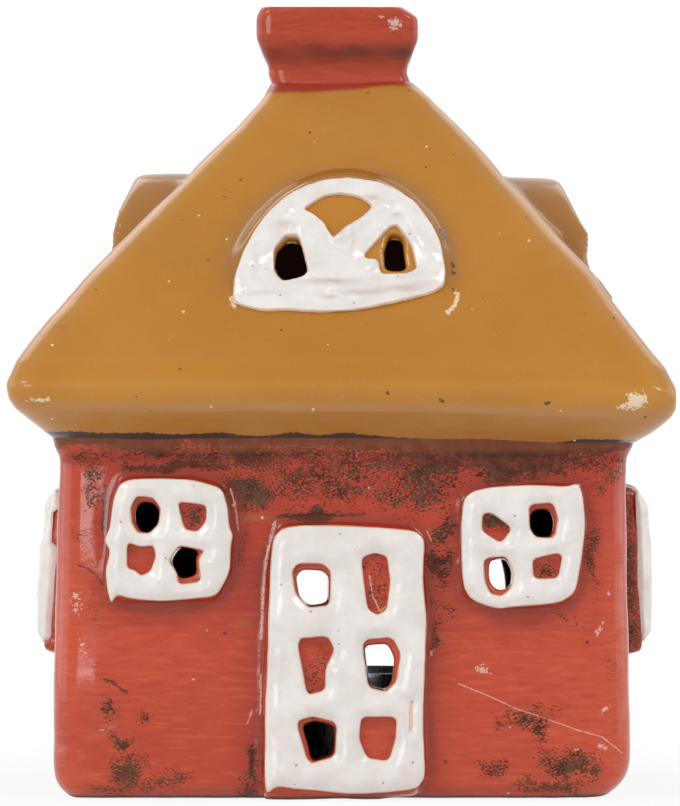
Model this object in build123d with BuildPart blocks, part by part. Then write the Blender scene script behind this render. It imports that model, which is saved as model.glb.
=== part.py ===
from build123d import *

import os
from math import atan2, cos, radians, sin, tan

os.makedirs("parts", exist_ok=True)

# A glazed stoneware house that holds one tealight. Lengths are in millimetres.
# +Z is up, the door faces -Y, and the origin is the middle of the underside.
# Clay slabs make the floor, the walls and the hip roof. Each window and the door
# is a pad of clay on its wall with a pale frame on the pad, and some of its panes
# are pierced right through. The tealight goes in and out at the back.

# Floor and walls
wall_foot_width = 95.4
wall_lean_in = 1.1
depth_difference = 6.0
wall_top_height = 58.6
wall_thickness = 4.7
wall_corner_radius = 4.0
interior_corner_radius = 3.0
floor_thickness = 5.0
floor_edge_radius = 3.4

# Opening in the rear wall
rear_opening_width = 52.0
rear_opening_sill = 17.5
rear_opening_top_margin = 4.6
rear_opening_spring_share = 0.397
rear_opening_offset = 3.0

# Roof
eave_overhang = 8.4
eave_soffit_rise = 5.4
eave_edge_height = 8.0
eave_edge_shares = ((0.0, 0.185), (0.21, 0.05), (0.52, 0.0), (1.0, 0.22))
roof_rise = 47.5
roof_bulge_shares = ((0.32, 0.709), (0.714, 0.303))
roof_thickness = 4.5
hip_radius = 4.5

# Chimney
stack_width = 23.7
stack_height = 2.6
stack_corner_radius = 2.5
flue_wall = 4.0
flue_corner_radius = 1.5
cap_width = 27.4
cap_flare_height = 4.6
cap_height = 5.7
cap_corner_radius = 2.4
cap_rim_radius = 1.0

# Dormers: a half-round hood with a flat face that leans back, on three sides of the roof
dormer_width = 37.4
dormer_height = 22.0
dormer_lift = 9.6
dormer_setback = 0.6
dormer_face_lean = 22.0
dormer_wall = 3.2
dormer_rim_radius = 1.1
lunette_margin = 1.3
lunette_thickness = 0.8
lunette_edge_radius = 0.3

# Window and door pads, and the frames on them
pad_thickness = 3.1
pad_margin = 1.1
pad_draft_margin = 0.7
frame_thickness = 1.5
frame_corner_radius = 1.3
frame_edge_radius = 0.4

# Windows and door. Each drop is from the top of the wall, and each gap is along it.
front_door_width = 27.0
front_door_offset = 0.6
front_door_drop = 13.5
front_door_foot_gap = 0.7
front_left_window_height = 20.6
front_left_window_drop = 5.8
front_left_window_corner_gap = 8.9
front_left_window_door_gap = 5.1
front_right_window_height = 20.4
front_right_window_drop = 6.8
front_right_window_corner_gap = 8.0
front_right_window_door_gap = 5.4
side_window_width = 20.0
side_window_height = 27.9
side_window_drop = 7.8

# Tealight
tealight_diameter = 38.0
tealight_height = 15.0
tealight_foil = 0.4
tealight_foot_inset = 0.7
tealight_rim_width = 0.6
tealight_setback = 10.0
wax_drop = 2.5
wax_clearance = 0.05
wick_diameter = 1.3
wick_above_wax = 5.5
sustainer_diameter = 12.0
sustainer_thickness = 0.3
sustainer_neck_diameter = 2.6
sustainer_neck_height = 3.2
sustainer_clearance = 0.05

# Every cut runs past the clay by this much
overrun = 20.0

# A rounded edge takes up to this share of the edge beside it
edge_limit_share = 0.85

# The sweep of a half-round arc, in degrees
half_turn = 180

# Outlines of the pale frames, as shares of half their width and half their height
left_window_shares = (
    (-0.97, -0.92), (-0.61, -0.98), (0.75, -0.97), (1.0, -0.47), (0.98, 0.17),
    (0.87, 0.86), (0.4, 1.0), (-0.74, 1.0), (-0.88, 0.65),
)
right_window_shares = (
    (-0.92, -0.83), (-0.35, -1.0), (0.59, -0.93), (0.85, -0.75), (1.0, 0.33),
    (0.93, 0.99), (0.15, 0.99), (-0.53, 0.94), (-0.97, 0.75),
)
door_shares = (
    (-1.0, -1.0), (0.18, -1.0), (0.87, -0.96), (0.98, -0.82), (0.95, -0.14), (0.99, 0.3),
    (0.95, 0.66), (0.96, 0.88), (0.82, 0.97), (0.27, 1.0), (-0.77, 1.0), (-0.9, 0.74), (-0.98, -0.26),
)
side_window_shares = (
    (-0.96, -0.97), (0.1, -1.0), (0.93, -0.95), (1.0, -0.2), (0.95, 0.6),
    (0.86, 0.97), (-0.1, 1.0), (-0.9, 0.95), (-1.0, 0.1),
)
lunette_foot_shares = ((1.0, 0.14), (0.9, 0.01), (-0.14, -0.04), (-0.91, 0.0), (-1.0, 0.14))

# Panes, as shares of the same half-sizes. The first word says how deep each one is cut.
left_window_pane_shares = (
    ("pierced", ((-0.49, 0.68), (-0.26, 0.66), (-0.15, 0.52), (-0.16, 0.28),
                 (-0.3, 0.14), (-0.47, 0.16), (-0.55, 0.3), (-0.57, 0.52))),
    ("sunk", ((0.19, 0.59), (0.58, 0.54), (0.58, 0.33), (0.46, 0.18), (0.29, 0.22))),
    ("sunk", ((-0.61, -0.06), (-0.24, -0.1), (-0.2, -0.26), (-0.28, -0.46), (-0.4, -0.53), (-0.6, -0.42))),
    ("pierced", ((0.19, -0.1), (0.57, -0.17), (0.48, -0.31), (0.51, -0.62), (0.2, -0.66), (0.05, -0.33))),
)
right_window_pane_shares = (
    ("sunk", ((-0.63, 0.51), (-0.51, 0.52), (-0.22, 0.31), (-0.37, 0.11), (-0.63, 0.27))),
    ("pierced", ((0.11, 0.66), (0.45, 0.69), (0.53, 0.46), (0.48, 0.19), (0.2, 0.2), (0.12, 0.33))),
    ("pierced", ((-0.59, -0.23), (-0.28, -0.19), (-0.18, -0.4), (-0.21, -0.64),
                 (-0.35, -0.76), (-0.5, -0.73), (-0.58, -0.56))),
    ("sunk", ((0.17, -0.19), (0.6, -0.1), (0.54, -0.46), (0.19, -0.47))),
)
door_pane_shares = (
    ("pierced", ((-0.55, 0.7), (-0.27, 0.7), (-0.18, 0.65), (-0.19, 0.42),
                 (-0.43, 0.4), (-0.57, 0.5), (-0.61, 0.65))),
    ("sunk", ((0.23, 0.74), (0.37, 0.77), (0.51, 0.75), (0.55, 0.58), (0.51, 0.39), (0.41, 0.35), (0.3, 0.39))),
    ("sunk", ((-0.55, 0.15), (-0.2, 0.16), (-0.13, 0.07), (-0.22, -0.05), (-0.23, -0.21), (-0.44, -0.24))),
    ("pierced", ((0.25, 0.13), (0.57, 0.15), (0.66, 0.04), (0.62, -0.15), (0.5, -0.22), (0.3, -0.19))),
    ("pierced", ((-0.56, -0.46), (-0.38, -0.43), (-0.11, -0.47), (-0.13, -0.7), (-0.43, -0.75))),
    ("sunk", ((0.23, -0.43), (0.61, -0.43), (0.59, -0.59), (0.52, -0.73), (0.29, -0.71), (0.2, -0.58))),
)
lunette_pane_shares = (
    ("pierced", ((-0.51, 0.5), (-0.38, 0.49), (-0.3, 0.19), (-0.53, 0.14), (-0.62, 0.24), (-0.61, 0.4))),
    ("sunk", ((0.53, 0.61), (0.7, 0.4), (0.75, 0.22), (0.64, 0.19), (0.41, 0.19), (0.38, 0.31), (0.23, 0.33))),
    ("hidden", ((0.44, 0.54), (0.57, 0.52), (0.61, 0.22), (0.42, 0.22), (0.4, 0.39))),
    ("sunk", ((-0.33, 0.72), (-0.08, 0.84), (0.08, 0.84), (0.3, 0.75), (0.21, 0.65), (-0.04, 0.49), (-0.15, 0.6))),
)

# Sizes that follow from those above
ridge = depth_difference / 2
reach = wall_foot_width
wall_foot_half = wall_foot_width / 2
wall_top_half = wall_foot_half - wall_lean_in
interior_half = wall_top_half - wall_thickness
wall_height = wall_top_height - floor_thickness
eave_base_height = wall_top_height + eave_soffit_rise
slope_base_height = eave_base_height + eave_edge_height
roof_top_height = slope_base_height + roof_rise
cap_base_height = roof_top_height + stack_height
stack_half = stack_width / 2
cap_half = cap_width / 2
flue_half = stack_half - flue_wall
wall_angle = atan2(wall_lean_in, wall_height)
rear_opening_crown_height = wall_top_height - rear_opening_top_margin
rear_opening_arch_rise = (1 - rear_opening_spring_share) * (rear_opening_crown_height - rear_opening_sill)
rear_opening_spring_height = rear_opening_crown_height - rear_opening_arch_rise

eave_half = wall_top_half + eave_overhang
slope_base_half = eave_half - eave_edge_shares[-1][1] * eave_overhang
roof_run = slope_base_half - stack_half
slope_stations = [(slope_base_height, slope_base_half)]
for height_share, run_share in roof_bulge_shares:
    slope_stations.append((slope_base_height + height_share * roof_rise, stack_half + run_share * roof_run))
slope_stations.append((roof_top_height, stack_half))
slab_run = roof_thickness / sin(atan2(roof_rise, roof_run))
dormer_base_height = slope_base_height + dormer_lift
dormer_half = dormer_width / 2
dormer_lean = radians(dormer_face_lean)


def crossing(stations, half_width, inset):
    """The height where a line of stations, drawn in by an inset, reaches a half-width."""
    for (low, wide), (high, narrow) in zip(stations, stations[1:]):
        if narrow - inset <= half_width:
            break
    return low + (high - low) * (wide - inset - half_width) / (wide - narrow)


def roof_half(height):
    """Half the roof's width at a height on its slope."""
    for (low, wide), (high, narrow) in zip(slope_stations, slope_stations[1:]):
        if height <= high:
            break
    return wide + (narrow - wide) * (height - low) / (high - low)


def plan_section(height, half_width, corner_radius):
    """One level of the house in plan: a rounded oblong, wider than it is deep."""
    with BuildSketch(Plane.XY.offset(height)) as section:
        RectangleRounded(2 * half_width, 2 * half_width - depth_difference, corner_radius)
    return section.sketch


# The four sides: their outward direction, and the direction to the right as one faces them
side_directions = {
    "front": (Vector(0, -1, 0), Vector(1, 0, 0)),
    "rear": (Vector(0, 1, 0), Vector(-1, 0, 0)),
    "left": (Vector(-1, 0, 0), Vector(0, -1, 0)),
    "right": (Vector(1, 0, 0), Vector(0, 1, 0)),
}

# Slabs meet on mitres at the corners, so each side owns one of these areas in plan
mitre_plans = {
    "front": ((-ridge, 0), (-ridge - reach, -reach), (ridge + reach, -reach), (ridge, 0)),
    "rear": ((ridge, 0), (ridge + reach, reach), (-ridge - reach, reach), (-ridge, 0)),
    "left": ((-ridge, 0), (-ridge - reach, reach), (-ridge - reach, -reach)),
    "right": ((ridge, 0), (ridge + reach, -reach), (ridge + reach, reach)),
}


def side_distance(side, half_width):
    """How far a surface lies from the middle on a side, given its half-width."""
    if side in ("front", "rear"):
        return half_width - ridge
    return half_width


def side_plane(side, distance, height, along=0.0, lean=0.0):
    """A plane on one side that faces out. It leans back by an angle, with its y up the face."""
    outward, right = side_directions[side]
    origin = outward * distance + right * along + Vector(0, 0, height)
    return Plane(origin=origin, x_dir=right, z_dir=outward * cos(lean) + Vector(0, 0, sin(lean)))


def scaled(shares, half_width, half_height):
    """An outline's corners, from shares of its half-sizes."""
    return [(x_share * half_width, y_share * half_height) for x_share, y_share in shares]


def rounded_outline(plane, shares, half_width, half_height):
    """A frame's outline on a plane, with its corners softened."""
    with BuildSketch(plane) as outline:
        Polygon(*scaled(shares, half_width, half_height), align=None)
        fillet(outline.vertices(), radius=frame_corner_radius)
    return outline.sketch


def pane_cuts(plane, panes, half_width, half_height, kinds):
    """The outlines of the panes of some kinds, on a plane."""
    with BuildSketch(plane) as cuts:
        for kind, shares in panes:
            if kind in kinds:
                Polygon(*scaled(shares, half_width, half_height), align=None)
    return cuts.sketch


# The front windows fill the wall between its corners and the door
door_edge = front_door_width / 2
front_door_height = wall_top_height - front_door_drop - front_door_foot_gap
front_door_centre = front_door_foot_gap + front_door_height / 2
left_window_inner = door_edge - front_door_offset + front_left_window_door_gap
left_window_outer = wall_foot_half - front_left_window_corner_gap
front_left_window_width = left_window_outer - left_window_inner
front_left_window_offset = -(left_window_outer + left_window_inner) / 2
front_left_window_centre = wall_top_height - front_left_window_drop - front_left_window_height / 2
right_window_inner = door_edge + front_door_offset + front_right_window_door_gap
right_window_outer = wall_foot_half - front_right_window_corner_gap
front_right_window_width = right_window_outer - right_window_inner
front_right_window_offset = (right_window_outer + right_window_inner) / 2
front_right_window_centre = wall_top_height - front_right_window_drop - front_right_window_height / 2
side_window_centre = wall_top_height - side_window_drop - side_window_height / 2

# Windows and door: the name of each piece's stem, its side, place, size, outline and panes
wall_openings = (
    ("front_left_window", "front", front_left_window_offset, front_left_window_centre,
     front_left_window_width, front_left_window_height, left_window_shares, left_window_pane_shares),
    ("front_right_window", "front", front_right_window_offset, front_right_window_centre,
     front_right_window_width, front_right_window_height, right_window_shares, right_window_pane_shares),
    ("front_door", "front", front_door_offset, front_door_centre,
     front_door_width, front_door_height, door_shares, door_pane_shares),
    ("left_side_window", "left", 0, side_window_centre,
     side_window_width, side_window_height, side_window_shares, door_pane_shares),
    ("right_side_window", "right", 0, side_window_centre,
     side_window_width, side_window_height, side_window_shares, door_pane_shares),
)


def wall_face(side, along, height):
    """The outer face of a wall, with its origin at a height up that face."""
    distance = side_distance(side, wall_foot_half) - (height - floor_thickness) * tan(wall_angle)
    return side_plane(side, distance, height, along, wall_angle)


# Floor slab
with BuildPart() as floor_slab:
    extrude(plan_section(0, wall_foot_half, wall_corner_radius), amount=floor_thickness)
    underside = floor_slab.faces().sort_by(Axis.Z)[0]
    largest_edge_radius = edge_limit_share * min(floor_thickness, wall_corner_radius)
    fillet(underside.edges(), radius=min(floor_edge_radius, largest_edge_radius))
floor_slab.part.label = "floor_slab"
export_step(floor_slab.part, "parts/floor_slab.step")

# The wall tube, from which the four wall slabs are taken
with BuildPart() as wall_tube:
    loft(
        sections=[
            plan_section(floor_thickness, wall_foot_half, wall_corner_radius),
            plan_section(wall_top_height, wall_top_half, wall_corner_radius),
        ],
        ruled=True,
    )
    interior = plan_section(floor_thickness, interior_half, interior_corner_radius)
    extrude(interior, amount=wall_height, mode=Mode.SUBTRACT)

# Four wall slabs, mitred at the corners, with the pierced panes and the rear opening
for side in side_directions:
    with BuildPart() as wall:
        add(wall_tube.part)
        with BuildSketch(Plane.XY.offset(floor_thickness)):
            Polygon(*mitre_plans[side], align=None)
        extrude(amount=wall_height, mode=Mode.INTERSECT)
        for stem, opening_side, along, centre, width, height, outline_shares, pane_shares in wall_openings:
            if opening_side == side:
                face = wall_face(side, along, centre)
                cuts = pane_cuts(face, pane_shares, width / 2, height / 2, ("pierced",))
                extrude(cuts, amount=overrun, both=True, mode=Mode.SUBTRACT)
        if side == "rear":
            opening_plane = side_plane(side, side_distance(side, interior_half), 0, -rear_opening_offset)
            opening_half = rear_opening_width / 2
            with BuildSketch(opening_plane):
                with BuildLine():
                    Polyline(
                        (opening_half, rear_opening_spring_height),
                        (opening_half, rear_opening_sill),
                        (-opening_half, rear_opening_sill),
                        (-opening_half, rear_opening_spring_height),
                    )
                    EllipticalCenterArc(
                        (0, rear_opening_spring_height),
                        opening_half,
                        rear_opening_arch_rise,
                        start_angle=0,
                        arc_size=half_turn,
                    )
                make_face()
            extrude(amount=overrun, both=True, mode=Mode.SUBTRACT)
    wall.part.label = f"{side}_wall"
    export_step(wall.part, f"parts/{side}_wall.step")

# The roof's outer form, from the wall tops up to the chimney
eave_levels = [(wall_top_height, wall_top_half, wall_corner_radius)]
for height_share, inset_share in eave_edge_shares:
    level = eave_base_height + height_share * eave_edge_height
    eave_levels.append((level, eave_half - inset_share * eave_overhang, hip_radius))
slope_levels = [(level, half_width, hip_radius) for level, half_width in slope_stations[1:-1]]
roof_levels = eave_levels + slope_levels + [(roof_top_height, stack_half, stack_corner_radius)]
with BuildPart() as roof_form:
    loft(sections=[plan_section(*level) for level in roof_levels], ruled=True)

# The space under the roof, which narrows to the flue
knee_height = crossing(slope_stations, interior_half, slab_run)
flue_height = crossing(slope_stations, flue_half, slab_run)
attic_levels = [
    (wall_top_height, interior_half, interior_corner_radius),
    (knee_height, interior_half, interior_corner_radius),
]
for level, half_width in slope_stations[1:-1]:
    attic_levels.append((level, half_width - slab_run, interior_corner_radius))
attic_levels.append((flue_height, flue_half, flue_corner_radius))
attic_levels.append((roof_top_height, flue_half, flue_corner_radius))
with BuildPart() as roof_shell:
    add(roof_form.part)
    loft(sections=[plan_section(*level) for level in attic_levels], ruled=True, mode=Mode.SUBTRACT)


def half_round(plane, half_width, height):
    """A half-ellipse that stands on a plane's x axis."""
    with BuildSketch(plane) as outline:
        with BuildLine():
            Line((half_width, 0), (-half_width, 0))
            EllipticalCenterArc((0, 0), half_width, height, start_angle=0, arc_size=half_turn)
        make_face()
    return outline.sketch


def dormer_face(side, depth):
    """A plane parallel to a dormer's flat face, this deep behind it."""
    distance = side_distance(side, roof_half(dormer_base_height)) - dormer_setback
    return side_plane(side, distance, dormer_base_height, 0, dormer_lean).offset(-depth)


# Four roof slabs, mitred at the hips, holed behind the dormers
cavity_half = dormer_half - dormer_wall
cavity_rise = dormer_height - 2 * dormer_wall
cavity_base_height = dormer_base_height + dormer_wall
for side in side_directions:
    with BuildPart() as roof_slab:
        add(roof_shell.part)
        with BuildSketch(Plane.XY.offset(wall_top_height)):
            Polygon(*mitre_plans[side], align=None)
        extrude(amount=roof_top_height - wall_top_height, mode=Mode.INTERSECT)
        if side != "rear":
            cavity = half_round(side_plane(side, 0, cavity_base_height), cavity_half, cavity_rise)
            extrude(cavity, amount=reach, mode=Mode.SUBTRACT)
    roof_slab.part.label = f"{side}_roof"
    export_step(roof_slab.part, f"parts/{side}_roof.step")

# Chimney stack and its cap
with BuildPart() as chimney_stack:
    extrude(plan_section(roof_top_height, stack_half, stack_corner_radius), amount=stack_height)
    flue = plan_section(roof_top_height, flue_half, flue_corner_radius)
    extrude(flue, amount=stack_height, mode=Mode.SUBTRACT)
chimney_stack.part.label = "chimney_stack"
export_step(chimney_stack.part, "parts/chimney_stack.step")

with BuildPart() as chimney_cap:
    loft(
        sections=[
            plan_section(cap_base_height, stack_half, stack_corner_radius),
            plan_section(cap_base_height + cap_flare_height, cap_half, cap_corner_radius),
        ],
        ruled=True,
    )
    extrude(plan_section(cap_base_height + cap_flare_height, cap_half, cap_corner_radius), amount=cap_height)
    rim = chimney_cap.faces().sort_by(Axis.Z)[-1]
    fillet(rim.edges(), radius=min(cap_rim_radius, edge_limit_share * cap_corner_radius))
    flue = plan_section(cap_base_height, flue_half, flue_corner_radius)
    extrude(flue, amount=cap_flare_height + cap_height, mode=Mode.SUBTRACT)
chimney_cap.part.label = "chimney_cap"
export_step(chimney_cap.part, "parts/chimney_cap.step")

# Dormer hoods and the pale lunettes on their faces
lunette_half = dormer_half - lunette_margin
lunette_rise = dormer_height / cos(dormer_lean) - 2 * lunette_margin
for side in ("front", "left", "right"):
    face = dormer_face(side, 0)
    foot = Plane(face.origin + face.y_dir * lunette_margin, x_dir=face.x_dir, z_dir=face.z_dir)
    with BuildPart() as hood_cavity:
        extrude(half_round(side_plane(side, 0, cavity_base_height), cavity_half, cavity_rise), amount=reach)
        split(bisect_by=dormer_face(side, dormer_wall), keep=Keep.BOTTOM)

    with BuildPart() as hood:
        outline = half_round(side_plane(side, 0, dormer_base_height), dormer_half, dormer_height)
        extrude(outline, amount=reach)
        split(bisect_by=face, keep=Keep.BOTTOM)
        brow = hood.faces().sort_by(Axis(face.origin, face.z_dir))[-1].edges().filter_by(GeomType.LINE, reverse=True)
        fillet(brow, radius=min(dormer_rim_radius, edge_limit_share * lunette_margin))
        add(roof_form.part, mode=Mode.SUBTRACT)
        add(hood_cavity.part, mode=Mode.SUBTRACT)
        cuts = pane_cuts(foot, lunette_pane_shares, lunette_half, lunette_rise, ("pierced", "hidden"))
        extrude(cuts, amount=overrun, both=True, mode=Mode.SUBTRACT)
    hood.part.label = f"{side}_dormer_hood"
    export_step(hood.part, f"parts/{side}_dormer_hood.step")

    with BuildPart() as lunette:
        with BuildSketch(foot) as lunette_outline:
            with BuildLine():
                foot_line = scaled(lunette_foot_shares, lunette_half, lunette_rise)
                Polyline(*foot_line)
                brow_foot = foot_line[0][1]
                EllipticalCenterArc(
                    (0, brow_foot), lunette_half, lunette_rise - brow_foot, start_angle=0, arc_size=half_turn
                )
            make_face()
            fillet(lunette_outline.vertices(), radius=frame_corner_radius)
        extrude(amount=lunette_thickness)
        pale_face = lunette.faces().sort_by(Axis(face.origin, face.z_dir))[-1]
        fillet(pale_face.edges(), radius=lunette_edge_radius)
        cuts = pane_cuts(foot, lunette_pane_shares, lunette_half, lunette_rise, ("pierced", "sunk"))
        extrude(cuts, amount=overrun, both=True, mode=Mode.SUBTRACT)
        add(roof_form.part, mode=Mode.SUBTRACT)
    lunette.part.label = f"{side}_dormer_window"
    export_step(lunette.part, f"parts/{side}_dormer_window.step")

# Clay pads on the walls, with the pale frames on them
for stem, side, along, centre, width, height, outline_shares, pane_shares in wall_openings:
    face = wall_face(side, along, centre)
    crest = face.offset(pad_thickness)
    half_sizes = (width / 2, height / 2)
    foot_sizes = [half_size + pad_margin for half_size in half_sizes]
    crest_sizes = [foot_size - pad_draft_margin for foot_size in foot_sizes]
    with BuildPart() as pad:
        loft(
            sections=[
                rounded_outline(face, outline_shares, *foot_sizes),
                rounded_outline(crest, outline_shares, *crest_sizes),
            ],
            ruled=True,
        )
        split(bisect_by=Plane.XY, keep=Keep.TOP)
        cuts = pane_cuts(face, pane_shares, *half_sizes, ("pierced",))
        extrude(cuts, amount=overrun, both=True, mode=Mode.SUBTRACT)
    pad.part.label = f"{stem}_pad"
    export_step(pad.part, f"parts/{stem}_pad.step")

    with BuildPart() as frame:
        extrude(rounded_outline(crest, outline_shares, *half_sizes), amount=frame_thickness)
        pale_face = frame.faces().sort_by(Axis(face.origin, face.z_dir))[-1]
        fillet(pale_face.edges(), radius=frame_edge_radius)
        cuts = pane_cuts(face, pane_shares, *half_sizes, ("pierced", "sunk"))
        extrude(cuts, amount=overrun, both=True, mode=Mode.SUBTRACT)
    frame.part.label = stem
    export_step(frame.part, f"parts/{stem}.step")

# Tealight: a foil cup, the wax in it, and a wick held upright by a crimped foot
tealight_radius = tealight_diameter / 2
tealight_axis = Axis((rear_opening_offset, -tealight_setback, 0), (0, 0, 1))
tealight_plane = Plane(
    origin=(rear_opening_offset, -tealight_setback, floor_thickness), x_dir=(1, 0, 0), z_dir=(0, -1, 0)
)
cup_outer_radius = tealight_radius - tealight_rim_width
cup_foot_radius = cup_outer_radius - tealight_foot_inset
cup_inner_radius = cup_outer_radius - tealight_foil
cup_inner_foot_radius = cup_foot_radius - tealight_foil
wax_top = tealight_height - wax_drop
inner_slope = (cup_inner_radius - cup_inner_foot_radius) / (tealight_height - tealight_foil)
with BuildPart() as tealight_cup:
    with BuildSketch(tealight_plane):
        Polygon(
            (0, 0),
            (cup_foot_radius, 0),
            (cup_outer_radius, tealight_height - tealight_rim_width),
            (tealight_radius, tealight_height - tealight_rim_width),
            (tealight_radius, tealight_height),
            (cup_inner_radius, tealight_height),
            (cup_inner_foot_radius, tealight_foil),
            (0, tealight_foil),
            align=None,
        )
    revolve(axis=tealight_axis)
tealight_cup.part.label = "tealight_cup"
export_step(tealight_cup.part, "parts/tealight_cup.step")

sustainer_top = tealight_foil + sustainer_neck_height
sustainer_radius = sustainer_diameter / 2
neck_radius = sustainer_neck_diameter / 2
wick_radius = wick_diameter / 2
with BuildPart() as wick_sustainer:
    with BuildSketch(tealight_plane):
        Polygon(
            (wick_radius, tealight_foil),
            (sustainer_radius, tealight_foil),
            (sustainer_radius, tealight_foil + sustainer_thickness),
            (neck_radius, tealight_foil + sustainer_thickness),
            (neck_radius, sustainer_top),
            (wick_radius, sustainer_top),
            align=None,
        )
    revolve(axis=tealight_axis)
wick_sustainer.part.label = "wick_sustainer"
export_step(wick_sustainer.part, "parts/wick_sustainer.step")

wick_length = wax_top + wick_above_wax - tealight_foil
with BuildPart() as tealight_wick:
    with BuildSketch(Plane(origin=(rear_opening_offset, -tealight_setback, floor_thickness + tealight_foil))):
        Circle(wick_radius - sustainer_clearance)
    extrude(amount=wick_length)
tealight_wick.part.label = "tealight_wick"
export_step(tealight_wick.part, "parts/tealight_wick.step")

wax_foot_radius = cup_inner_foot_radius - wax_clearance
wax_top_radius = cup_inner_foot_radius + inner_slope * (wax_top - tealight_foil) - wax_clearance
with BuildPart() as tealight_wax:
    with BuildSketch(tealight_plane):
        Polygon(
            (sustainer_radius + sustainer_clearance, tealight_foil),
            (wax_foot_radius, tealight_foil),
            (wax_top_radius, wax_top),
            (wick_radius, wax_top),
            (wick_radius, sustainer_top + sustainer_clearance),
            (neck_radius + sustainer_clearance, sustainer_top + sustainer_clearance),
            (neck_radius + sustainer_clearance, tealight_foil + sustainer_thickness + sustainer_clearance),
            (sustainer_radius + sustainer_clearance, tealight_foil + sustainer_thickness + sustainer_clearance),
            align=None,
        )
    revolve(axis=tealight_axis)
tealight_wax.part.label = "tealight_wax"
export_step(tealight_wax.part, "parts/tealight_wax.step")
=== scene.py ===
from math import atan2, cos, radians, sin, tan

import bmesh
import bpy
import numpy as np
from mathutils import Matrix, Vector


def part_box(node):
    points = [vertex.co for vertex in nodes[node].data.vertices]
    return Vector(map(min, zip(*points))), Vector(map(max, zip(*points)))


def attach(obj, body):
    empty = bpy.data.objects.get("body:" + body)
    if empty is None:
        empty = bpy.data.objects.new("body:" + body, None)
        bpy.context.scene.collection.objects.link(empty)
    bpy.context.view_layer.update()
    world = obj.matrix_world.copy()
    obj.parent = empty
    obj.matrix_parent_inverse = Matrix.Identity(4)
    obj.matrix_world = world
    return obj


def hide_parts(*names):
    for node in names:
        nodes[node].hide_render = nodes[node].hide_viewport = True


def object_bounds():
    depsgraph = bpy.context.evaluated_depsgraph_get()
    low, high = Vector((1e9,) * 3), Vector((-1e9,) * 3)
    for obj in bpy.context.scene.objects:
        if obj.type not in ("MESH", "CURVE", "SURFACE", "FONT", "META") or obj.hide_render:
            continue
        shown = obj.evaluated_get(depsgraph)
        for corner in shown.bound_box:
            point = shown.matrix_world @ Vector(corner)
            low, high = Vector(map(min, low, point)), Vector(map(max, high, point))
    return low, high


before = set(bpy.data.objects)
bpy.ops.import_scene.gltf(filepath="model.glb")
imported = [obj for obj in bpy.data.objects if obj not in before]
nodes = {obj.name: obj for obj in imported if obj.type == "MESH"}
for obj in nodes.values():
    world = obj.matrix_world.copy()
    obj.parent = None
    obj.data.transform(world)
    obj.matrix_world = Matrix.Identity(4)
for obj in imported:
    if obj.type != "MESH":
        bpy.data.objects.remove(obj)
cad_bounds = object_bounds()
scene = bpy.context.scene
mm = 0.001

# Arrays and meshes. The arrays are in millimetres, and Blender is in metres.


def rows(items, key, width=3, kind=np.float32):
    """A value of every vertex, edge or normal, as rows of an array."""
    flat = np.empty(width * len(items), kind)
    items.foreach_get(key, flat)
    return flat.reshape(-1, width)


def coordinates(mesh):
    return rows(mesh.vertices, "co").astype(float) / mm


def put_coordinates(mesh, points):
    mesh.vertices.foreach_set("co", (points * mm).astype(np.float32).ravel())
    mesh.update()


def normals(mesh):
    return rows(mesh.vertex_normals, "vector").astype(float)


def neighbour_mean(values, edges):
    """For each point, the mean of a value over the points it shares an edge with."""
    count = len(values)
    degree = np.maximum(np.bincount(edges.ravel(), minlength=count), 1)
    total = np.bincount(edges[:, 0], values[edges[:, 1]], count)
    total += np.bincount(edges[:, 1], values[edges[:, 0]], count)
    return total / degree


def relaxed(points, edges, rounds, strength=0.5):
    """Each point moves towards the middle of its neighbours, a number of times."""
    for _ in range(rounds):
        middle = np.stack([neighbour_mean(part, edges) for part in points.T], axis=1)
        points = points + strength * (middle - points)
    return points


def spread(values, edges, rounds):
    """A value per point, evened out over its neighbours."""
    for _ in range(rounds):
        values = 0.5 * values + 0.5 * neighbour_mean(values, edges)
    return values


noise_cells = 32
noise_origin = 100


def noise(points, size, seed):
    """Smooth noise from -1 to 1 whose features have one size, in millimetres."""
    table = np.random.default_rng(seed).random((noise_cells,) * 3)
    place = points / size + noise_origin
    cell = np.floor(place).astype(int)
    part = place - cell
    part = part * part * (3 - 2 * part)
    total = np.zeros(len(points))
    for corner in np.ndindex(2, 2, 2):
        weight = np.ones(len(points))
        for k in range(3):
            weight *= part[:, k] if corner[k] else 1 - part[:, k]
        total += weight * table[tuple(((cell + corner) % noise_cells).T)]
    return 2 * total - 1


def step(low, high, values):
    """0 below low, 1 above high, smooth between."""
    t = np.clip((values - low) / (high - low), 0, 1)
    return t * t * (3 - 2 * t)


def between(values, table):
    """A value read from a table of (place, value) pairs."""
    return np.interp(values, *zip(*table))


# How far the left and the right dormer stand in from their place, at each height
left_dormer_inset = (
    (83, 0.9), (85.5, 1.8), (87.6, 3.2), (89.7, 3.8), (91.7, 3.3), (93.8, 2.4), (95.8, 2),
    (97.9, 1.6), (102, 1.7), (105, 1),
)
right_dormer_inset = (
    (83, 0.2), (85.5, 0.5), (87.6, 1.6), (89.7, 1.3), (91.7, 0.3), (93.8, -0.5), (95.8, 0),
    (97.9, 0.3), (102, 0.7), (105, 0.5),
)
left_crown_rise = 0.6

# How far the house leans to the right at each height, and how much wider it is there
lean_by_height = (
    (0, 0), (50, 0.15), (58, 0.35), (63, 0.35), (69, -0.1), (79, -0.4), (90, -0.1), (98, 0.4),
    (106, 0.85), (112, 1.1), (117, 0.7), (119.5, 0), (121, -0.6), (133, -0.75),
)
widening_by_height = (
    (0, 1), (50, 1.002), (58, 1.006), (62, 1.012), (66, 1.006), (70, 1.003), (79, 1.006), (100, 1),
    (107, 0.992), (112, 0.975), (116, 0.968), (119, 0.99), (121, 1), (133, 1),
)

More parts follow.
